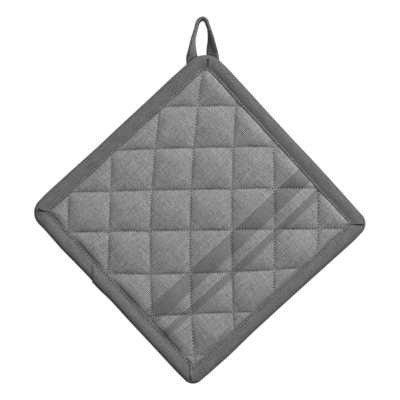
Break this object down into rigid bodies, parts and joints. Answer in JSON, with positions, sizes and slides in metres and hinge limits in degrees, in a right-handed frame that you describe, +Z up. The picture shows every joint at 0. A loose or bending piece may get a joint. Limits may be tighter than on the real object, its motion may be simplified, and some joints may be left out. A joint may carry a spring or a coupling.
{
  "type": "pot holder",
  "caption": "Square quilted cloth pot holder with a bound edge and a folded tape loop to hang it by, lying flat on its back; it shields the hand or the table from a hot pan.",
  "frame": {"origin": "under the middle of the pad, on the surface that its back rests on", "axes": "+Z up out of the quilted face, +Y towards the corner with the hanging loop, +X to the right seen from above"},
  "size_m": [0.2997, 0.3328, 0.011],
  "materials": {
    "ground_cloth": "plain-woven melange cotton with two darker twill stripes, quilted",
    "binding_tape": "tight plain-woven cotton tape, folded and topstitched",
    "loop_tape": "the same cotton tape, folded lengthwise and sewn"
  },
  "bodies": {
    "root": {"quilted_pad": "ground_cloth", "edge_binding": "binding_tape", "hanging_loop": "loop_tape"}
  },
  "joints": []
}
